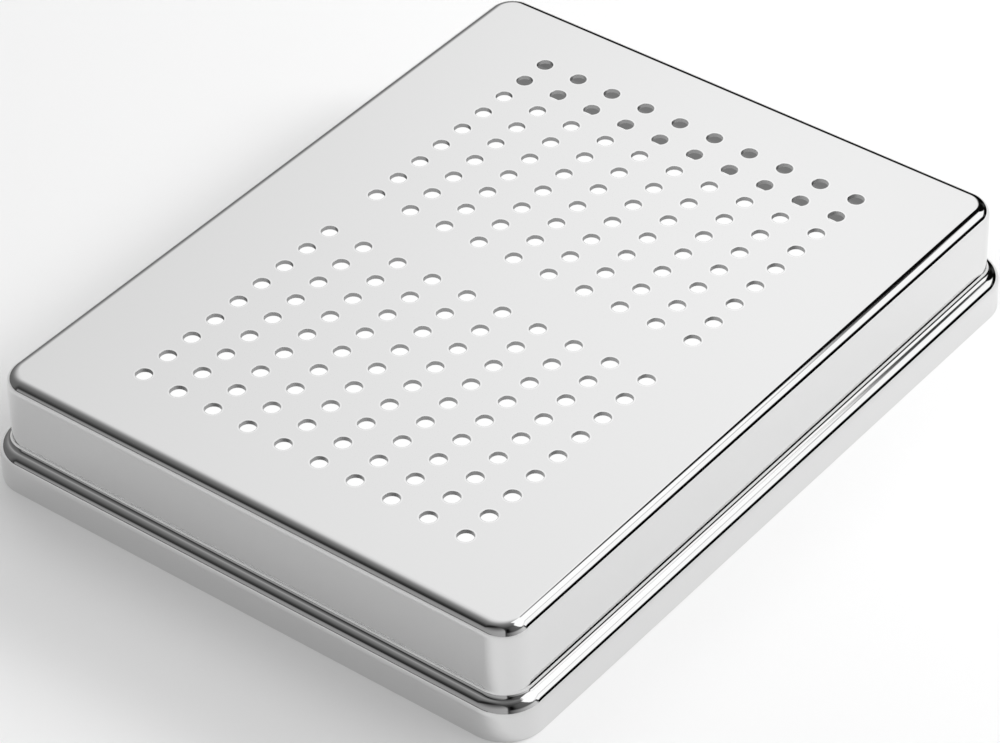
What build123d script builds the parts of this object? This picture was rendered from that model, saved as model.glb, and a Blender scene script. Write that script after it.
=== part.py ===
from build123d import *
import math
import os

# Half-size dental instrument tray, pressed from one sheet of stainless steel.
# It stands rim down with its perforated face up. The origin is the centre of the
# rim's lower plane. +X is along the short sides, +Y along the long sides and +Z up.
# All sizes are in millimetres.

# Driving sizes of the pressing
rim_width = 143.3            # outer size of the rim along X
rim_length = 183.0           # outer size of the rim along Y
tray_height = 27.6           # from the rim's lower plane to the perforated face
sheet = 1.0                  # thickness of the sheet
rim_band_height = 6.5        # straight wall above the rim's lower plane
shoulder_step = 3.0          # how far the rim band stands out from the upper wall
bend_radius = 2.0            # inner radius of the face's edge and of the shoulder's outer edge
shoulder_bend_radius = 1.5   # outer radius of the hollow bend between upper wall and shoulder
face_corner_radius = 6.6     # outer corner of the upper wall, seen from above

# Driving sizes of the perforation
hole_diameter = 3.7
hole_pitch_x = 9.54          # between two holes of a row
hole_pitch_y = 7.66          # between two rows of a field
holes_per_row = 10
rows_per_field = 9
plain_bar_pitch = 16.36      # between the two rows beside the plain bar in the middle

# Sizes that follow
outer_bend_radius = bend_radius + sheet
face_width = rim_width - 2 * shoulder_step
face_length = rim_length - 2 * shoulder_step
long_run = face_length - 2 * face_corner_radius
short_run = face_width - 2 * face_corner_radius

# The shoulder is two bends that are tangent to each other. A step shorter than
# their two radii makes them meet on a slope, and a longer one leaves a level strip.
bend_reach = shoulder_bend_radius + outer_bend_radius
bend_overlap = max(bend_reach - shoulder_step, 0.0)
bend_slope = math.degrees(math.asin(bend_overlap / bend_reach))
shoulder_rise = math.sqrt(bend_reach ** 2 - bend_overlap ** 2)
upper_wall_start = rim_band_height + shoulder_rise


def wall_line(depth):
    """Return the wall's section line, from the plate's edge down to the rim.

    depth is 0 on the outer side of the sheet and its thickness on the inner side.
    X is measured outwards from the upper wall's outer side, and Y is the height.
    """
    edge_centre = (-outer_bend_radius, tray_height - outer_bend_radius)
    high_centre = (shoulder_bend_radius, upper_wall_start)
    low_centre = (shoulder_step - outer_bend_radius, rim_band_height)
    edge_bend = CenterArc(edge_centre, outer_bend_radius - depth, 90, -90)
    high_bend = CenterArc(high_centre, shoulder_bend_radius + depth, 180, 90 - bend_slope)
    low_bend = CenterArc(low_centre, outer_bend_radius - depth, 90 - bend_slope, bend_slope - 90)
    upper_wall = Line(edge_bend @ 1, high_bend @ 0)
    rim_band = Line(low_bend @ 1, (shoulder_step - depth, 0))
    pieces = [edge_bend, upper_wall, high_bend, low_bend, rim_band]
    if shoulder_step > bend_reach:
        pieces.append(Line(high_bend @ 1, low_bend @ 0))
    return pieces


def wall_section():
    """Return the closed section of the wall, on the XZ plane, one sheet thick."""
    outer_line = wall_line(0)
    inner_line = wall_line(sheet)
    plate_edge = Line((-outer_bend_radius, tray_height), (-outer_bend_radius, tray_height - sheet))
    rim_edge = Line((shoulder_step, 0), (shoulder_step - sheet, 0))
    outline = Curve() + outer_line + inner_line + [plate_edge, rim_edge]
    return Plane.XZ * make_face(outline)


def wall():
    """Return the wall: its section drawn along four sides and turned round four corners."""
    section = wall_section()
    corner = revolve(Pos(face_corner_radius, 0, 0) * section, Axis.Z, 90)
    right_side = extrude(Pos(face_width / 2, long_run / 2, 0) * section, long_run)
    back_side = extrude(Pos(face_length / 2, short_run / 2, 0) * section, short_run)
    half = [
        right_side,
        Rot(0, 0, 90) * back_side,
        Pos(short_run / 2, long_run / 2, 0) * corner,
        Pos(-short_run / 2, long_run / 2, 0) * Rot(0, 0, 90) * corner,
    ]
    return half + [Rot(0, 0, 180) * piece for piece in half]


def hole_places():
    """Return the centres of the holes, in two like fields beside the plain bar."""
    field_middle = plain_bar_pitch / 2 + (rows_per_field - 1) * hole_pitch_y / 2
    field = GridLocations(hole_pitch_x, hole_pitch_y, holes_per_row, rows_per_field)
    return [Pos(0, side * field_middle) * place for side in (-1, 1) for place in field]


def plate():
    """Return the flat perforated plate inside the edge bend."""
    outline = RectangleRounded(
        face_width - 2 * outer_bend_radius,
        face_length - 2 * outer_bend_radius,
        face_corner_radius - outer_bend_radius,
    )
    holes = [place * Circle(hole_diameter / 2) for place in hole_places()]
    return extrude(Pos(0, 0, tray_height - sheet) * (outline - holes), sheet)


tray_body = plate() + wall()

os.makedirs("parts", exist_ok=True)
export_step(tray_body, "parts/tray_body.step")
solid_count = len(tray_body.solids())
print(f"tray_body: {solid_count} solid, {tray_body.volume:.1f} cubic mm")
print(f"box: {tray_body.bounding_box()}")
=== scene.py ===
import logging
import math
from dataclasses import dataclass
from enum import Enum

import bpy
import numpy as np
from mathutils import Matrix, Vector

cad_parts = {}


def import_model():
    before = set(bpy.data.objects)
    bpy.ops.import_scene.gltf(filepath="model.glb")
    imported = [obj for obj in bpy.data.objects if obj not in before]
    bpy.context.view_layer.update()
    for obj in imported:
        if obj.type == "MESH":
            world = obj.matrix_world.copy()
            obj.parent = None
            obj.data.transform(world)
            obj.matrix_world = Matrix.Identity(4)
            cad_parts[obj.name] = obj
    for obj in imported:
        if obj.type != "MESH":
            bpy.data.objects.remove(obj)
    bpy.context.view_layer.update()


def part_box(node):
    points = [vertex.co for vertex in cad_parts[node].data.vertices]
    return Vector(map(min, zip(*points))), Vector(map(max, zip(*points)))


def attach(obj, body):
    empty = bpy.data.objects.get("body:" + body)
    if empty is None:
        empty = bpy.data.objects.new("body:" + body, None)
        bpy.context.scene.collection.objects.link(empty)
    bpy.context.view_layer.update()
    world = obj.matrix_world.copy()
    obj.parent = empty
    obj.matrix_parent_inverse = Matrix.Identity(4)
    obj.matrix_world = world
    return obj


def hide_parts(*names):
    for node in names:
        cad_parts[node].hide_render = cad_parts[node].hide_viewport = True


# Half-size dental instrument tray: one pressing of mirror-polished stainless steel,
# standing rim down. All lengths are in metres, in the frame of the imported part.

LOG = logging.getLogger("instrument_tray")
TRAY_NODE = "tray_body"
TRAY_BODY = "root"
MM = 0.001
WELD_DISTANCE = 0.0001 * MM
PANEL_FADE_START = 0.3


class SheetSide(Enum):
    """The two sides of the sheet: the depth below the outer face, as a share of it."""

    OUTER = 0.0
    INNER = 1.0


class Skin(Enum):
    """The finishes of the pressing, by their place in the mesh's material list."""

    POLISHED = 0
    # Underside: its material's dark colour is painted shade of the hollow inside.
    INSIDE = 1
    PUNCHED = 2
    # A lighter ring round each hole's mouth: a painted highlight.
    PAINTED_HIGHLIGHT_RING = 3


@dataclass(frozen=True)
class PressingSizes:
    """Sizes of the drawn sheet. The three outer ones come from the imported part."""

    rim_width: float
    rim_length: float
    height: float
    sheet: float = 1.0 * MM
    rim_band_height: float = 6.5 * MM
    shoulder_step: float = 3.0 * MM
    bend_radius: float = 2.0 * MM
    shoulder_bend_radius: float = 1.5 * MM
    face_corner_radius: float = 6.6 * MM
    rim_edge_round: float = 0.15 * MM
    steps_per_bend: int = 24
    steps_per_corner: int = 30
    steps_per_side: int = 12
    steps_per_rim_edge: int = 3

    @property
    def outer_bend_radius(self) -> float:
        """Radius of a bend on the sheet's convex side."""
        return self.bend_radius + self.sheet

    @property
    def shoulder_slope(self) -> float:
        """Angle from upright, in degrees, at which the shoulder's two bends meet."""
        reach = self.shoulder_bend_radius + self.outer_bend_radius
        return math.degrees(math.asin(1 - self.shoulder_step / reach))

    @property
    def upper_wall_start(self) -> float:
        """Height at which the shoulder ends and the straight upper wall begins."""
        reach = self.shoulder_bend_radius + self.outer_bend_radius
        return self.rim_band_height + math.sqrt(reach ** 2 - (reach - self.shoulder_step) ** 2)

    @property
    def face_half_sizes(self) -> np.ndarray:
        """Half width and half length over the upper wall's outer side."""
        return np.array([self.rim_width, self.rim_length]) / 2 - self.shoulder_step


@dataclass(frozen=True)
class PerforationSizes:
    """Sizes of the two fields of round holes in the face."""

    hole_diameter: float = 3.7 * MM
    pitch_x: float = 9.54 * MM
    pitch_y: float = 7.66 * MM
    holes_per_row: int = 10
    rows_per_field: int = 9
    plain_bar_pitch: float = 16.36 * MM
    mouth_round: float = 0.07 * MM
    # ring_start and ring_width place the lighter ring of painted highlight round each mouth.
    ring_start: float = 0.2 * MM
    ring_width: float = 0.22 * MM
    steps_per_edge: int = 8

    @property
    def field_half_width(self) -> float:
        """Half width of a field, to the outer edges of its cells."""
        return self.pitch_x * self.holes_per_row / 2

    @property
    def plain_bar_half_width(self) -> float:
        """Distance from the middle of the face to the first cell's edge."""
        return (self.plain_bar_pitch - self.pitch_y) / 2

    @property
    def field_end(self) -> float:
        """Distance from the middle of the face to the last cell's edge."""
        return self.plain_bar_half_width + self.pitch_y * self.rows_per_field


@dataclass
class Patch:
    """Part of a surface: corner points and normals of faces with 3 or 4 corners."""

    points: np.ndarray
    normals: np.ndarray
    skin: Skin = Skin.POLISHED


def arc_rows(centre: tuple[float, float], radius: float, start: float, end: float,
             side: float, steps: int) -> np.ndarray:
    """Return an arc of the wall's section as rows of x, z, normal x and normal z.

    A point is the centre plus the radius times (cos a, sin a), for a from start to end.

    Args:
        centre: Centre of the arc, as distance out from the upper wall and height.
        radius: Radius of the arc.
        start: First angle, in degrees.
        end: Last angle, in degrees.
        side: 1 where the metal lies inside the arc, -1 where it lies outside.
        steps: Number of straight steps along a quarter turn.

    Returns:
        An array with a row for each point.
    """
    count = max(2, round(steps * abs(end - start) / 90)) + 1
    angle = np.radians(np.linspace(start, end, count))
    spoke = np.stack([np.cos(angle), np.sin(angle)], axis=1)
    return np.concatenate([np.array(centre) + radius * spoke, side * spoke], axis=1)


class TrayPressing:
    """The pressing as one closed surface: the drawn wall and the perforated face."""

    def __init__(self, sizes: PressingSizes, holes: PerforationSizes) -> None:
        """Keep the sizes.

        Args:
            sizes: Sizes of the drawn sheet.
            holes: Sizes of the perforation.
        """
        self.sizes = sizes
        self.holes = holes

    def section(self) -> np.ndarray:
        """Return the wall's section, from the face over the rim to the underside.

        Each bend is an arc of the section, and the straight walls lie between the
        arcs. The inner side runs back along arcs with the same centres.

        Returns:
            Rows of distance out from the upper wall, height, normal out, normal up.
        """
        s = self.sizes
        edge = (-s.outer_bend_radius, s.height - s.outer_bend_radius)
        high = (s.shoulder_bend_radius, s.upper_wall_start)
        low = (s.shoulder_step - s.outer_bend_radius, s.rim_band_height)
        slope = s.shoulder_slope
        tip = s.rim_edge_round
        fine = s.steps_per_bend
        rim_out = (s.shoulder_step - tip, tip)
        rim_in = (s.shoulder_step - s.sheet + tip, tip)
        return np.concatenate([
            arc_rows(edge, s.outer_bend_radius, 90, 0, 1, fine),
            arc_rows(high, s.shoulder_bend_radius, 180, 270 - slope, -1, fine),
            arc_rows(low, s.outer_bend_radius, 90 - slope, 0, 1, fine)[1:],
            arc_rows(rim_out, tip, 0, -90, 1, s.steps_per_rim_edge),
            arc_rows(rim_in, tip, -90, -180, 1, s.steps_per_rim_edge),
            arc_rows(low, s.bend_radius, 0, 90 - slope, -1, fine),
            arc_rows(high, s.shoulder_bend_radius + s.sheet, 270 - slope, 180, 1, fine)[1:],
            arc_rows(edge, s.bend_radius, 0, 90, -1, fine),
        ])

    def path(self) -> tuple[np.ndarray, np.ndarray]:
        """Return the rounded rectangle that carries the section, seen from above.

        Each corner is a quarter circle about its centre, and each side is divided
        evenly between two corners. The path runs anticlockwise and closes on itself.

        Returns:
            The stations on the upper wall's outer side, and the outward directions.
        """
        s = self.sizes
        centres = s.face_half_sizes - s.face_corner_radius
        turns = np.arange(4)[:, None] * 90
        angle = np.radians(turns + np.linspace(0, 90, s.steps_per_corner + 1))
        out = np.stack([np.cos(angle), np.sin(angle)], axis=-1)
        signs = np.array([[1, 1], [-1, 1], [-1, -1], [1, -1]])[:, None, :]
        corners = signs * centres + s.face_corner_radius * out
        share = (np.arange(1, s.steps_per_side) / s.steps_per_side)[None, :, None]
        after = np.roll(corners, -1, axis=0)[:, :1]
        sides = corners[:, -1:] + share * (after - corners[:, -1:])
        side_out = np.broadcast_to(out[:, -1:], sides.shape)
        stations = np.concatenate([corners, sides], axis=1).reshape(-1, 2)
        return stations, np.concatenate([out, side_out], axis=1).reshape(-1, 2)

    def wall(self) -> list[Patch]:
        """Return the drawn wall: point(i, j) = station i + x(j) along its outward
        direction, at height z(j), and the normal turned the same way.

        Returns:
            The wall as four-cornered faces, its outer side and its inner side apart.
        """
        stations, out = self.path()
        rows = self.section()
        count = (len(stations), len(rows), 1)
        flat = stations[:, None, :] + rows[None, :, 0:1] * out[:, None, :]
        rise = np.broadcast_to(rows[None, :, 1:2], count)
        points = np.concatenate([flat, rise], axis=-1)
        lean = rows[None, :, 2:3] * out[:, None, :]
        normals = np.concatenate([lean, np.broadcast_to(rows[None, :, 3:4], count)], axis=-1)
        inner = int(np.argmin(rows[:, 1])) + 2
        return [
            Patch(grid_faces(points[:, :inner + 1]), grid_faces(normals[:, :inner + 1])),
            Patch(grid_faces(points[:, inner:]), grid_faces(normals[:, inner:]), Skin.INSIDE),
        ]

    def hole_cells(self) -> list[Patch]:
        """Return a cell of the face round each hole, from its upper to its lower side.

        A cell is a set of rings with the same number of points: its outline, a lighter
        ring of painted highlight, the mouth's small round, the hole's wall, the lower
        round and the outline again. Point(i, j) = centre of the cell + ring j at step i.

        Returns:
            The parts of the cells, apart by their finish.
        """
        s, h = self.sizes, self.holes
        radius = h.hole_diameter / 2
        round_off = h.mouth_round
        slant = math.sqrt(0.5)
        outline = self.cell_outline()
        angle = np.arctan2(outline[:, 1] / h.pitch_y, outline[:, 0] / h.pitch_x)
        spoke = np.stack([np.cos(angle), np.sin(angle)], axis=1)
        top, low = s.height, s.height - s.sheet
        corner = round_off * (1 - slant)
        # radius of the ring, height, normal towards the hole's axis, normal upwards
        rings = [
            (radius + h.ring_start + h.ring_width, top, 0, 1),
            (radius + h.ring_start, top, 0, 1),
            (radius + round_off, top, 0, 1),
            (radius + corner, top - corner, slant, slant),
            (radius, top - round_off, 1, 0),
            (radius, low + round_off, 1, 0),
            (radius + corner, low + corner, slant, -slant),
            (radius + round_off, low, 0, -1),
        ]
        layers = [(outline, top, 0.0, 1.0)]
        layers += [(size * spoke, height, inward, up) for size, height, inward, up in rings]
        layers += [(outline, low, 0.0, -1.0)]
        flat = np.stack([xy for xy, _, _, _ in layers], axis=1)
        rise = np.array([height for _, height, _, _ in layers])
        inward = np.array([value for _, _, value, _ in layers])
        upward = np.array([value for _, _, _, value in layers])
        points = with_height(flat, rise)
        normals = with_height(-spoke[:, None, :] * inward[None, :, None], upward)
        faces = self.at_holes(grid_faces(points))
        turned = np.broadcast_to(grid_faces(normals), faces.shape)
        bands = np.arange(faces.shape[1]) % (len(layers) - 1)
        mouth = (bands == 0) | ((bands > 1) & (bands < 5))
        places = (
            (Skin.POLISHED, mouth),
            # the lighter ring round the mouth: painted highlight
            (Skin.PAINTED_HIGHLIGHT_RING, bands == 1),
            (Skin.PUNCHED, bands == 5),
            (Skin.INSIDE, bands > 5),
        )
        return [
            Patch(faces[:, chosen].reshape(-1, 4, 3), turned[:, chosen].reshape(-1, 4, 3), skin)
            for skin, chosen in places
        ]

    def cell_outline(self) -> np.ndarray:
        """Return a cell's outline about its centre, clockwise, without its last point.

        Returns:
            An array of x and y, with the same number of steps on each edge.
        """
        h = self.holes
        share = np.arange(h.steps_per_edge) / h.steps_per_edge * 2 - 1
        one = np.ones_like(share)
        sides = [(share, one), (one, -share), (-share, -one), (-one, share)]
        square = np.concatenate([np.stack(side, axis=1) for side in sides])
        return square * np.array([h.pitch_x, h.pitch_y]) / 2

    def at_holes(self, faces: np.ndarray) -> np.ndarray:
        """Return copies of a cell's faces, moved to the centre of each hole.

        Args:
            faces: Faces of one cell, about its centre.

        Returns:
            The faces of all the cells, with a first axis for the holes.
        """
        h = self.holes
        x = (np.arange(h.holes_per_row) - (h.holes_per_row - 1) / 2) * h.pitch_x
        rows = h.plain_bar_pitch / 2 + np.arange(h.rows_per_field) * h.pitch_y
        y = np.concatenate([-rows[::-1], rows])
        centres = np.stack(np.meshgrid(x, y, indexing="ij"), axis=-1).reshape(-1, 1, 1, 2)
        moved = np.broadcast_to(faces, (len(centres),) + faces.shape).copy()
        moved[..., :2] += centres
        return moved

    def field_lines(self) -> tuple[np.ndarray, np.ndarray]:
        """Return the x and y places at which the cells' edges are divided."""
        h = self.holes
        across, along = h.holes_per_row * h.steps_per_edge, h.rows_per_field * h.steps_per_edge
        x = np.linspace(-h.field_half_width, h.field_half_width, across + 1)
        half = np.linspace(h.plain_bar_half_width, h.field_end, along + 1)
        return x, np.concatenate([-half[::-1], half])

    def plain_bar(self) -> list[Patch]:
        """Return the plain bar between the two fields, on both sides of the sheet."""
        h = self.holes
        x, _ = self.field_lines()
        edges = np.array([h.plain_bar_half_width, -h.plain_bar_half_width])
        flat = np.stack(np.meshgrid(x, edges, indexing="ij"), axis=-1)
        return [self.flat_patch(open_grid_faces(flat), side) for side in SheetSide]

    def border(self) -> list[Patch]:
        """Return the plain border between the fields and the wall, on both sides.

        Two closed rings, the fields' outline and the wall's first or last row, are
        joined by triangles in the order of their points' angles.

        Returns:
            The border's upper and lower faces.
        """
        s = self.sizes
        x, y = self.field_lines()
        outline = np.concatenate([
            np.stack([x[:-1], np.full(len(x) - 1, y[0])], axis=1),
            np.stack([np.full(len(y) - 1, x[-1]), y[:-1]], axis=1),
            np.stack([x[:0:-1], np.full(len(x) - 1, y[-1])], axis=1),
            np.stack([np.full(len(y) - 1, x[0]), y[:0:-1]], axis=1),
        ])
        stations, out = self.path()
        ring = stations - s.outer_bend_radius * out
        faces = join_rings(outline, ring)
        return [self.flat_patch(faces, side) for side in SheetSide]

    def flat_patch(self, faces: np.ndarray, side: SheetSide) -> Patch:
        """Return flat faces at the height of one side of the face's sheet.

        Args:
            faces: Corner points x and y, anticlockwise seen from above.
            side: The side of the sheet on which the faces lie.

        Returns:
            The faces, turned over on the inner side.
        """
        s = self.sizes
        up = 1.0 - 2.0 * side.value
        placed = with_height(faces, np.full(faces.shape[1], s.height - side.value * s.sheet))
        if side is SheetSide.INNER:
            placed = placed[:, ::-1]
        normals = np.broadcast_to(np.array([0.0, 0.0, up]), placed.shape)
        return Patch(placed, normals, Skin.INSIDE if side is SheetSide.INNER else Skin.POLISHED)

    def build(self, name: str, finishes: list[bpy.types.Material]) -> bpy.types.Object:
        """Join all the patches into one closed mesh object.

        Args:
            name: Name of the object.
            finishes: Materials in the order of Skin.

        Returns:
            The pressing as an object at the origin.
        """
        patches = [*self.wall(), *self.hole_cells(), *self.plain_bar(), *self.border()]
        piece = mesh_object(name, patches)
        for finish in finishes:
            piece.data.materials.append(finish)
        return piece


def with_height(flat: np.ndarray, height: np.ndarray) -> np.ndarray:
    """Add a third coordinate, one for each place along the second axis.

    Args:
        flat: Array of x and y, with shape (n, m, 2).
        height: Array of m values.

    Returns:
        An array with shape (n, m, 3).
    """
    third = np.broadcast_to(np.asarray(height)[None, :, None], flat.shape[:2] + (1,))
    return np.concatenate([flat, third], axis=-1)


def grid_faces(grid: np.ndarray) -> np.ndarray:
    """Return the faces of a grid that closes on itself along its first axis.

    Args:
        grid: Values at (i, j), with shape (n, m, 3).

    Returns:
        The four corners of each face, with shape (n * (m - 1), 4, 3).
    """
    closed = np.concatenate([grid, grid[:1]], axis=0)
    return open_grid_faces(closed)


def open_grid_faces(grid: np.ndarray) -> np.ndarray:
    """Return the faces of an open grid, in the order (i, j), (i, j+1), (i+1, j+1), (i+1, j).

    Args:
        grid: Values at (i, j), with shape (n, m, k).

    Returns:
        The four corners of each face, with shape ((n - 1) * (m - 1), 4, k).
    """
    corners = [grid[:-1, :-1], grid[:-1, 1:], grid[1:, 1:], grid[1:, :-1]]
    return np.stack(corners, axis=2).reshape(-1, 4, grid.shape[-1])


def join_rings(inner: np.ndarray, outer: np.ndarray) -> np.ndarray:
    """Join two closed flat rings by triangles, anticlockwise seen from above.

    Both rings' points are put in the order of their angle, measured after the ring is
    squeezed to a unit square. Each point makes a triangle with the point before it on
    its own ring and the last point passed on the other.

    Args:
        inner: Points of the inner ring, with shape (n, 2).
        outer: Points of the outer ring, with shape (m, 2).

    Returns:
        The three corners of each triangle, with shape (n + m, 3, 2).
    """
    rings = []
    for ring in (inner, outer):
        unit = ring / np.abs(ring).max(axis=0)
        angle = np.arctan2(unit[:, 1], unit[:, 0])
        order = np.argsort(angle, kind="stable")
        rings.append((ring[order], angle[order]))
    (inner_points, inner_angle), (outer_points, outer_angle) = rings
    order = np.argsort(np.concatenate([inner_angle, outer_angle]), kind="stable")
    is_inner = order < len(inner)
    inner_now = np.cumsum(is_inner) - 1
    outer_now = np.cumsum(~is_inner) - 1
    inner_last = inner_points[np.where(is_inner, inner_now - 1, inner_now)]
    outer_last = outer_points[np.where(is_inner, outer_now, outer_now - 1)]
    newest = np.where(is_inner[:, None], inner_points[inner_now], outer_points[outer_now])
    return np.stack([inner_last, outer_last, newest], axis=1)


def mesh_object(name: str, patches: list[Patch]) -> bpy.types.Object:
    """Weld patches into one mesh object with exact normals at its vertices.

    Corners that fall on one place of a grid of the weld distance become one vertex.

    Args:
        name: Name of the object and its mesh.
        patches: Faces with 3 or 4 corners.

    Returns:
        The object, linked to the scene.
    """
    corners = np.concatenate([patch.points.reshape(-1, 3) for patch in patches])
    normals = np.concatenate([patch.normals.reshape(-1, 3) for patch in patches])
    sizes = np.concatenate([np.full(len(p.points), p.points.shape[1]) for p in patches])
    skins = np.concatenate([np.full(len(p.points), p.skin.value) for p in patches])
    keys = np.round(corners / WELD_DISTANCE).astype(np.int64)
    _, first, corner_vertex = np.unique(keys, axis=0, return_index=True, return_inverse=True)
    mesh = bpy.data.meshes.new(name)
    mesh.vertices.add(len(first))
    mesh.vertices.foreach_set("co", corners[first].ravel())
    mesh.loops.add(len(corners))
    mesh.loops.foreach_set("vertex_index", corner_vertex.ravel().astype(np.int32))
    mesh.polygons.add(len(sizes))
    mesh.polygons.foreach_set("loop_start", (np.cumsum(sizes) - sizes).astype(np.int32))
    mesh.polygons.foreach_set("material_index", skins.astype(np.int32))
    mesh.polygons.foreach_set("use_smooth", np.ones(len(sizes), dtype=bool))
    mesh.update(calc_edges=True)
    mesh.validate()
    mesh.normals_split_custom_set_from_vertices(normals[first])
    piece = bpy.data.objects.new(name, mesh)
    bpy.context.scene.collection.objects.link(piece)
    return piece


class Wiring:
    """Short ways to add nodes to a shader tree and join them."""

    def __init__(self, tree: bpy.types.NodeTree) -> None:
        """Keep the tree that the nodes go into.

        Args:
            tree: Node tree of a material, a world or a group.
        """
        self.tree = tree

    def node(self, kind: str, **settings: object) -> bpy.types.Node:
        """Add a node and set its properties.

        Args:
            kind: Blender's name of the node's type.
            **settings: Properties of the node.

        Returns:
            The new node.
        """
        made = self.tree.nodes.new(kind)
        for key, value in settings.items():
            setattr(made, key, value)
        return made

    def feed(self, socket: bpy.types.NodeSocket, value: object) -> None:
        """Join a socket to another one, or set its plain value."""
        if isinstance(value, bpy.types.NodeSocket):
            self.tree.links.new(value, socket)
        else:
            socket.default_value = value

    def math(self, operation: str, *values: object) -> bpy.types.NodeSocket:
        """Add a math node.

        Args:
            operation: Blender's name of the operation.
            *values: Sockets or numbers for its inputs.

        Returns:
            The node's output.
        """
        made = self.node("ShaderNodeMath", operation=operation)
        for socket, value in zip(made.inputs, values):
            self.feed(socket, value)
        return made.outputs[0]

    def ease(self, value: object, start: object, end: object, low: object = 0.0,
             high: object = 1.0) -> bpy.types.NodeSocket:
        """Add a smooth change from low to high while value goes from start to end."""
        made = self.node("ShaderNodeMapRange", interpolation_type="SMOOTHSTEP")
        for key, item in (("Value", value), ("From Min", start), ("From Max", end),
                          ("To Min", low), ("To Max", high)):
            self.feed(made.inputs[key], item)
        return made.outputs["Result"]

    def round_box(self, x: object, y: object, half_x: object, half_y: object, corner: object,
                  softness: object) -> bpy.types.NodeSocket:
        """Add a mask of a rectangle with round corners and an eased edge.

        With q = (|x|, |y|) - (half_x, half_y) + corner, the distance to its edge is the
        length of the positive part of q, plus the greater of q where both are negative,
        minus the corner. The mask falls from 1 to 0 over the softness.

        Args:
            x: First coordinate.
            y: Second coordinate.
            half_x: Half width.
            half_y: Half height.
            corner: Radius of the corners.
            softness: Width of the eased edge.

        Returns:
            The mask.
        """
        reach = [
            self.math("ADD", self.math("SUBTRACT", self.math("ABSOLUTE", value), half), corner)
            for value, half in ((x, half_x), (y, half_y))
        ]
        squares = [self.math("POWER", self.math("MAXIMUM", value, 0.0), 2.0) for value in reach]
        outside = self.math("SQRT", self.math("ADD", *squares))
        inside = self.math("MINIMUM", self.math("MAXIMUM", *reach), 0.0)
        distance = self.math("SUBTRACT", self.math("ADD", outside, inside), corner)
        half_soft = self.math("MULTIPLY", softness, 0.5)
        return self.ease(distance, self.math("MULTIPLY", softness, -0.5), half_soft, 1.0, 0.0)

    def noise(self, place: object, scale: object, detail: float) -> bpy.types.NodeSocket:
        """Add a noise texture and return its value."""
        made = self.node("ShaderNodeTexNoise")
        for key, item in (("Vector", place), ("Scale", scale), ("Detail", detail)):
            self.feed(made.inputs[key], item)
        return made.outputs["Fac"]


def new_group(name: str, inputs: dict[str, float], outputs: list[str],
              vector_inputs: tuple[str, ...] = ()) -> tuple[bpy.types.NodeTree, dict, dict]:
    """Make a shader node group with named sockets.

    Args:
        name: Name of the group.
        inputs: Names and default values of its number inputs.
        outputs: Names of its number outputs.
        vector_inputs: Names of its vector inputs.

    Returns:
        The group, its inputs by name and its outputs by name.
    """
    group = bpy.data.node_groups.new(name, "ShaderNodeTree")
    for key in vector_inputs:
        group.interface.new_socket(key, in_out="INPUT", socket_type="NodeSocketVector")
    for key, value in inputs.items():
        socket = group.interface.new_socket(key, in_out="INPUT", socket_type="NodeSocketFloat")
        socket.default_value = value
    for key in outputs:
        group.interface.new_socket(key, in_out="OUTPUT", socket_type="NodeSocketFloat")
    source = group.nodes.new("NodeGroupInput")
    sink = group.nodes.new("NodeGroupOutput")
    return group, dict(source.outputs.items()), dict(sink.inputs.items())


def polish_group() -> bpy.types.NodeTree:
    """Build the group for polished sheet: haze that drifts and fine polishing lines.

    Returns:
        A group that puts out a roughness and the lines' height as a share of their depth.
    """
    drift_scale, drift_detail, line_stretch, line_detail = 22.0, 3.0, 0.02, 2.0
    inputs = {"Roughness": 0.08, "Haze": 0.03, "Line Scale": 2500.0}
    group, source, sink = new_group("polished_sheet", inputs, ["Roughness", "Height"], ("Place",))
    wiring = Wiring(group)
    drift = wiring.noise(source["Place"], drift_scale, drift_detail)
    centred = wiring.math("SUBTRACT", drift, 0.5)
    wiring.feed(sink["Roughness"], wiring.math("MULTIPLY_ADD", centred, source["Haze"], source["Roughness"]))
    stretch = wiring.node("ShaderNodeMapping")
    wiring.feed(stretch.inputs["Vector"], source["Place"])
    stretch.inputs["Scale"].default_value = (1.0, line_stretch, 1.0)
    lines = wiring.noise(stretch.outputs["Vector"], source["Line Scale"], line_detail)
    wiring.feed(sink["Height"], lines)
    return group


@dataclass(frozen=True)
class SteelFinish:
    """A finish of stainless steel: its colour, its gloss and its fine lines."""

    name: str
    colour: tuple[float, float, float]
    roughness: float
    haze: float
    line_depth: float
    line_scale: float

    def material(self, sheet: bpy.types.NodeTree) -> bpy.types.Material:
        """Build the material.

        Args:
            sheet: The shared group for polished sheet.

        Returns:
            The material.
        """
        made = bpy.data.materials.new(self.name)
        made.use_nodes = True
        wiring = Wiring(made.node_tree)
        shader = made.node_tree.nodes["Principled BSDF"]
        shader.inputs["Base Color"].default_value = (*self.colour, 1.0)
        shader.inputs["Metallic"].default_value = 1.0
        place = wiring.node("ShaderNodeTexCoord")
        skin = wiring.node("ShaderNodeGroup", node_tree=sheet)
        wiring.feed(skin.inputs["Place"], place.outputs["Object"])
        skin.inputs["Roughness"].default_value = self.roughness
        skin.inputs["Haze"].default_value = self.haze
        skin.inputs["Line Scale"].default_value = self.line_scale
        wiring.feed(shader.inputs["Roughness"], skin.outputs["Roughness"])
        bump = wiring.node("ShaderNodeBump")
        bump.inputs["Strength"].default_value = 1.0
        bump.inputs["Distance"].default_value = self.line_depth
        wiring.feed(bump.inputs["Height"], skin.outputs["Height"])
        wiring.feed(shader.inputs["Normal"], bump.outputs["Normal"])
        return made


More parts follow.
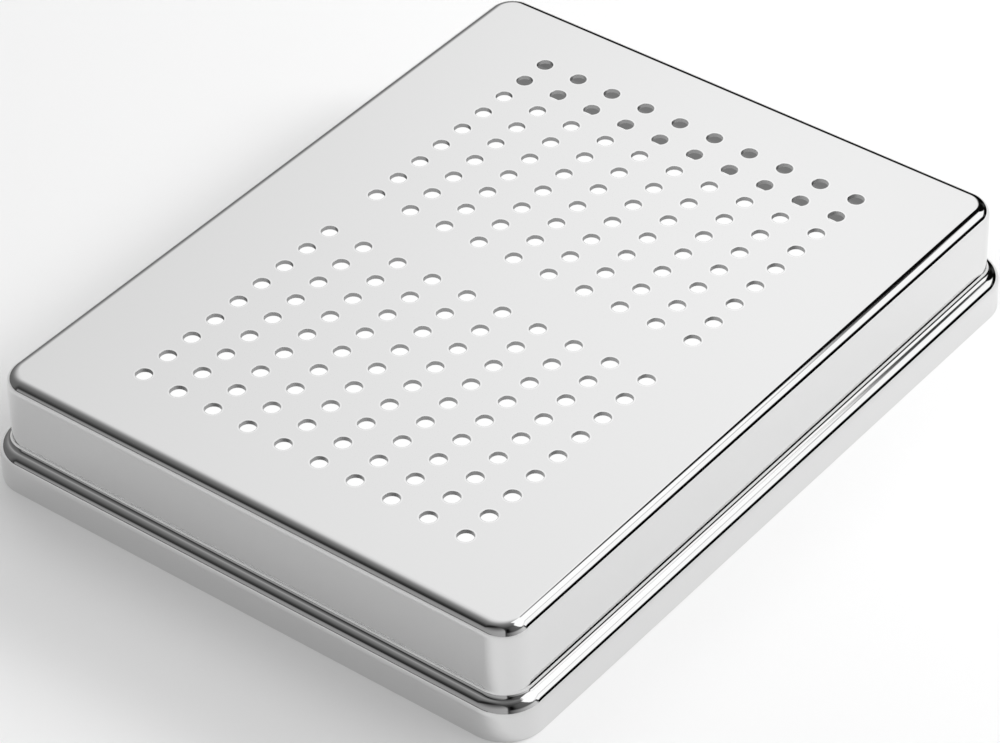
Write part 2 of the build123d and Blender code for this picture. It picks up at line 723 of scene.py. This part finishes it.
@dataclass(frozen=True)
class StudioPanel:
    """A soft-edged light, wall or dark flag of the studio, placed by its direction.

    Azimuth runs from -Y towards +X and elevation up from the floor, in degrees. The
    panel is a rectangle with round corners, and it climbs with azimuth by its tilt. Its
    strength goes evenly from its low-azimuth edge to its high-azimuth edge, and the
    top fade is the share of it that is lost towards the upper edge.
    """

    name: str
    azimuth: float
    elevation: float
    half_width: float
    half_height: float
    corner: float
    softness: float
    tilt: float = 0.0
    low_strength: float = 0.0
    high_strength: float = 0.0
    top_fade: float = 0.0


PANELS = (
    StudioPanel("room_shade", 34, 8, 78, 67, 25, 24, 0.0, 0.012, 0.09),
    StudioPanel("front_wall", 4, 8, 41, 57, 40, 7, 0.3, 0.37, 0.48, 0.75),
    StudioPanel("side_shade", 76, 44, 30.5, 24, 1, 1.5, 0.0, 0.04, 0.10),
    StudioPanel("side_haze", 88, 47, 20, 18, 14, 18, 0.0, 0.10, 0.17),
    StudioPanel("side_flag", 55, 42, 7, 15, 7, 12, 0.1, 0.004, 0.004),
    StudioPanel("side_wall", 81, 4, 35, 22, 1, 12, 0.0, 0.06, 0.85),
    StudioPanel("room_corner", 46, 5, 1.2, 40, 1, 2, 0.0, 0.07, 0.05),
    StudioPanel("high_window", 150, 52, 46, 19, 16, 4, 0.06, 1.38, 1.38),
    StudioPanel("low_window", 160, 31, 42, 13, 5, 4, 0.2, 1.31, 1.31),
    StudioPanel("window_bar", 147, 42.2, 38, 0.9, 0.5, 0.7, 0.24, 0.83, 0.27),
    StudioPanel("bar_knot", 163.8, 46.2, 4.5, 1.1, 1, 1.5, 0.3, 0.03, 0.03),
    StudioPanel("window_end", -179.5, 37.4, 20.4, 14.9, 14.9, 2.7, 0.3, 0.003, 0.003),
    StudioPanel("back_post", -164, 20, 8, 18, 7, 10, 0.0, 0.003, 0.01),
    StudioPanel("low_flag", 166, 6, 49, 16.7, 4, 4.8, 0.13, 0.002, 0.002),
    StudioPanel("low_gap", 144, 7, 3.5, 9, 2, 6, 0.0, 0.07, 0.07),
    StudioPanel("low_end", 180, 9, 5, 12, 2, 8, 0.0, 0.06, 0.06),
    StudioPanel("side_post", 117, 21, 2.2, 10, 2, 3, 0.0, 0.01, 0.01),
    StudioPanel("skirting", -30, 2.5, 30, 2, 0, 2, 0.0, 0.08, 0.08),
)


@dataclass(frozen=True)
class SkyGlow:
    """A round glow of the studio, placed by its direction, that fades outwards."""

    azimuth: float
    elevation: float
    spread: float
    strength: float


GLOWS = (
    SkyGlow(-130, 50.7, 0.084, 0.81),
    SkyGlow(-149, 33.6, 0.02, 0.63),
    SkyGlow(-162, 47.6, 0.01, 0.7),
)


@dataclass(frozen=True)
class Studio:
    """The plain floor, the light round it and the camera of the photograph."""

    dome_strength: float = 0.156
    floor_half_size: float = 2.5
    floor_tone: float = 0.88
    floor_roughness: float = 0.4
    # Painted glow on the floor under the perforated face, in place of the tray's shadow: its half sizes,
    # corner and edge.
    painted_glow_half_width: float = 70.9 * MM
    painted_glow_half_length: float = 90.75 * MM
    painted_glow_corner: float = 8.85 * MM
    painted_glow_softness: float = 0.1 * MM
    fill_azimuth: float = 25.0
    fill_elevation: float = 60.0
    fill_strength: float = 1.15
    fill_spread: float = 40.0
    softbox_azimuth: float = 150.0
    softbox_elevation: float = 30.0
    softbox_distance: float = 1.0
    softbox_width: float = 0.6
    softbox_height: float = 0.25
    softbox_power: float = 7.8
    aim: tuple[float, float, float] = (1.48 * MM, -5.28 * MM, 7.71 * MM)
    camera_distance: float = 956.7 * MM
    camera_azimuth: float = 38.568
    camera_elevation: float = 39.322
    camera_roll: float = 1.278
    lens: float = 158.9
    sensor_width: float = 36.0

    def panel_group(self) -> bpy.types.NodeTree:
        """Build the group that lays one panel over the light behind it.

        The panel is covered where the distance to a rectangle with round corners, in
        azimuth and elevation, is below zero, and its edge is eased over the softness.

        Returns:
            The group, with the light as its output.
        """
        inputs = {
            "Below": 0.0, "Azimuth": 0.0, "Elevation": 0.0,
            "Centre Azimuth": 0.0, "Centre Elevation": 0.0, "Half Width": 30.0, "Half Height": 20.0,
            "Corner": 2.0, "Softness": 5.0, "Tilt": 0.0,
            "Low Strength": 1.0, "High Strength": 1.0, "Top Fade": 0.0,
        }
        group, source, sink = new_group("studio_panel", inputs, ["Light"])
        wiring = Wiring(group)
        across = wiring.math("SUBTRACT", source["Azimuth"], source["Centre Azimuth"])
        across = wiring.math("WRAP", across, 180.0, -180.0)
        lean = wiring.math("MULTIPLY_ADD", across, source["Tilt"], source["Centre Elevation"])
        above = wiring.math("SUBTRACT", source["Elevation"], lean)
        cover = wiring.round_box(across, above, source["Half Width"], source["Half Height"],
                                 source["Corner"], source["Softness"])
        ramp = wiring.node("ShaderNodeMapRange", clamp=True)
        share = wiring.math("DIVIDE", across, source["Half Width"])
        for key, item in (("Value", share), ("From Min", -1.0), ("From Max", 1.0),
                          ("To Min", source["Low Strength"]), ("To Max", source["High Strength"])):
            wiring.feed(ramp.inputs[key], item)
        height = wiring.math("DIVIDE", above, source["Half Height"])
        loss = wiring.math("MULTIPLY", wiring.ease(height, PANEL_FADE_START, 1.0), source["Top Fade"])
        strength = wiring.math("MULTIPLY", ramp.outputs["Result"], wiring.math("SUBTRACT", 1.0, loss))
        change = wiring.math("SUBTRACT", strength, source["Below"])
        wiring.feed(sink["Light"], wiring.math("MULTIPLY_ADD", change, cover, source["Below"]))
        return group

    def light_world(self) -> None:
        """Build the world: a dim dome, soft glows and the panels laid over them."""
        world = bpy.data.worlds.new("studio")
        bpy.context.scene.world = world
        world.use_nodes = True
        wiring = Wiring(world.node_tree)
        look = wiring.node("ShaderNodeTexCoord").outputs["Generated"]
        parts = wiring.node("ShaderNodeSeparateXYZ")
        wiring.feed(parts.inputs[0], look)
        x, y, z = parts.outputs
        azimuth = wiring.math("DEGREES", wiring.math("ARCTAN2", x, wiring.math("MULTIPLY", y, -1.0)))
        elevation = wiring.math("DEGREES", wiring.math("ARCSINE", z))
        light = self.dome_strength
        for glow in GLOWS:
            lobe = wiring.node("ShaderNodeVectorMath", operation="DOT_PRODUCT")
            wiring.feed(lobe.inputs[0], look)
            lobe.inputs[1].default_value = direction(glow.azimuth, glow.elevation)
            fall = wiring.math("DIVIDE", wiring.math("SUBTRACT", lobe.outputs["Value"], 1.0), glow.spread)
            light = wiring.math("MULTIPLY_ADD", wiring.math("EXPONENT", fall), glow.strength, light)
        group = self.panel_group()
        for panel in PANELS:
            layer = wiring.node("ShaderNodeGroup", node_tree=group, label=panel.name)
            values = (light, azimuth, elevation, panel.azimuth, panel.elevation, panel.half_width,
                      panel.half_height, panel.corner, panel.softness, panel.tilt,
                      panel.low_strength, panel.high_strength, panel.top_fade)
            for socket, value in zip(layer.inputs, values):
                wiring.feed(socket, value)
            light = layer.outputs["Light"]
        background = world.node_tree.nodes["Background"]
        background.inputs["Color"].default_value = (1.0, 1.0, 1.0, 1.0)
        wiring.feed(background.inputs["Strength"], light)

    def place_lamps(self) -> None:
        """Hang a broad fill light and a softbox behind, which light only the pale floor."""
        fill = bpy.data.lights.new("fill", "SUN")
        fill.energy = self.fill_strength
        fill.angle = math.radians(self.fill_spread)
        softbox = bpy.data.lights.new("softbox", "AREA")
        softbox.shape = "RECTANGLE"
        softbox.size = self.softbox_width
        softbox.size_y = self.softbox_height
        softbox.energy = self.softbox_power
        places = (
            (fill, self.fill_azimuth, self.fill_elevation),
            (softbox, self.softbox_azimuth, self.softbox_elevation),
        )
        for light, azimuth, elevation in places:
            towards = Vector(direction(azimuth, elevation))
            turn = towards.to_track_quat("Z", "Y").to_matrix().to_4x4()
            lamp = bpy.data.objects.new(light.name, light)
            lamp.matrix_world = Matrix.Translation(self.softbox_distance * towards) @ turn
            lamp.visible_glossy = False
            bpy.context.scene.collection.objects.link(lamp)

    def floor_paint(self) -> bpy.types.Material:
        """Build the floor's paint: pale, with a painted glow below the perforated face.

        The painted glow shows the floor at full white, to the camera and in the metal, where the tray's
        shadow falls.

        Returns:
            The material.
        """
        paint = bpy.data.materials.new("floor_paint")
        paint.use_nodes = True
        wiring = Wiring(paint.node_tree)
        matte = paint.node_tree.nodes["Principled BSDF"]
        matte.inputs["Base Color"].default_value = (self.floor_tone,) * 3 + (1.0,)
        matte.inputs["Roughness"].default_value = self.floor_roughness
        # Painted glow: full white emission where the tray's shadow falls below the face.
        lit = wiring.node("ShaderNodeEmission")
        lit.inputs["Strength"].default_value = 1.0
        place = wiring.node("ShaderNodeSeparateXYZ")
        wiring.feed(place.inputs[0], wiring.node("ShaderNodeTexCoord").outputs["Object"])
        field = wiring.round_box(place.outputs[0], place.outputs[1], self.painted_glow_half_width,
                                 self.painted_glow_half_length, self.painted_glow_corner, self.painted_glow_softness)
        ray = wiring.node("ShaderNodeLightPath").outputs
        seen = wiring.math("MAXIMUM", ray["Is Camera Ray"], ray["Is Glossy Ray"])
        seen = wiring.math("MAXIMUM", seen, ray["Is Transmission Ray"])
        mix = wiring.node("ShaderNodeMixShader")
        wiring.feed(mix.inputs[0], wiring.math("MULTIPLY", field, seen))
        wiring.feed(mix.inputs[1], matte.outputs[0])
        wiring.feed(mix.inputs[2], lit.outputs[0])
        wiring.feed(paint.node_tree.nodes["Material Output"].inputs["Surface"], mix.outputs[0])
        return paint

    def lay_floor(self) -> bpy.types.Object:
        """Lay the plain pale floor just under the rim.

        Returns:
            The floor.
        """
        half = self.floor_half_size
        mesh = bpy.data.meshes.new("floor")
        corners = np.array([[-half, -half, 0.0], [half, -half, 0.0], [half, half, 0.0], [-half, half, 0.0]])
        mesh.from_pydata(corners.tolist(), [], [(0, 1, 2, 3)])
        floor = bpy.data.objects.new("floor", mesh)
        bpy.context.scene.collection.objects.link(floor)
        mesh.materials.append(self.floor_paint())
        return floor

    def place_camera(self) -> bpy.types.Object:
        """Place the camera on a line from the aim point, at the photograph's angle.

        Returns:
            The camera.
        """
        lens = bpy.data.cameras.new("camera")
        lens.lens = self.lens
        lens.sensor_fit = "HORIZONTAL"
        lens.sensor_width = self.sensor_width
        lens.clip_start = 0.01
        camera = bpy.data.objects.new("camera", lens)
        back = Vector(direction(self.camera_azimuth, self.camera_elevation))
        right = Vector((0.0, 0.0, 1.0)).cross(back).normalized()
        up = back.cross(right)
        turn = Matrix((right, up, back)).transposed()
        roll = Matrix.Rotation(-math.radians(self.camera_roll), 3, back)
        place = Matrix.Translation(Vector(self.aim) + self.camera_distance * back)
        camera.matrix_world = place @ (roll @ turn).to_4x4()
        bpy.context.scene.collection.objects.link(camera)
        bpy.context.scene.camera = camera
        return camera

    def build(self) -> None:
        """Set up the floor, the light and the camera, and the plain colour transform."""
        self.lay_floor()
        self.light_world()
        self.place_lamps()
        self.place_camera()
        bpy.context.scene.view_settings.view_transform = "Standard"


def direction(azimuth: float, elevation: float) -> tuple[float, float, float]:
    """Return the unit vector towards an azimuth from -Y and an elevation, in degrees."""
    turn, rise = math.radians(azimuth), math.radians(elevation)
    return (math.sin(turn) * math.cos(rise), -math.cos(turn) * math.cos(rise), math.sin(rise))


MIRROR_STEEL = SteelFinish("mirror_polished_steel", (0.72, 0.72, 0.72), 0.05, 0.03, 0.0000001, 2500.0)
# Satin finish of the underside; its dark colour is painted shade of the hollow inside.
SATIN_STEEL_PAINTED_SHADE = SteelFinish("satin_steel_painted_shade", (0.21, 0.21, 0.21), 0.42, 0.06, 0.0000006, 1200.0)
PUNCHED_STEEL = SteelFinish("punched_edge_steel", (0.37, 0.37, 0.37), 0.45, 0.06, 0.0000006, 1800.0)
# Lighter ring round each hole's mouth: a painted highlight.
PAINTED_HIGHLIGHT_RING_STEEL = SteelFinish("painted_highlight_ring_steel", (0.80, 0.80, 0.80), 0.10, 0.02, 0.0000001, 2500.0)


def main() -> None:
    """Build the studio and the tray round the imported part."""
    logging.basicConfig(level=logging.INFO, format="%(name)s: %(message)s")
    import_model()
    low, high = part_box(TRAY_NODE)
    size = high - low
    Studio().build()
    LOG.info("studio: floor, light and camera")
    sheet = polish_group()
    steels = (MIRROR_STEEL, SATIN_STEEL_PAINTED_SHADE, PUNCHED_STEEL, PAINTED_HIGHLIGHT_RING_STEEL)
    finishes = [finish.material(sheet) for finish in steels]
    sizes = PressingSizes(rim_width=size.x, rim_length=size.y, height=size.z)
    tray = TrayPressing(sizes, PerforationSizes()).build("tray_pressing", finishes)
    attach(tray, TRAY_BODY)
    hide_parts(TRAY_NODE)
    LOG.info("%s: %d faces on %s", tray.name, len(tray.data.polygons), TRAY_BODY)


if __name__ == "__main__":
    main()
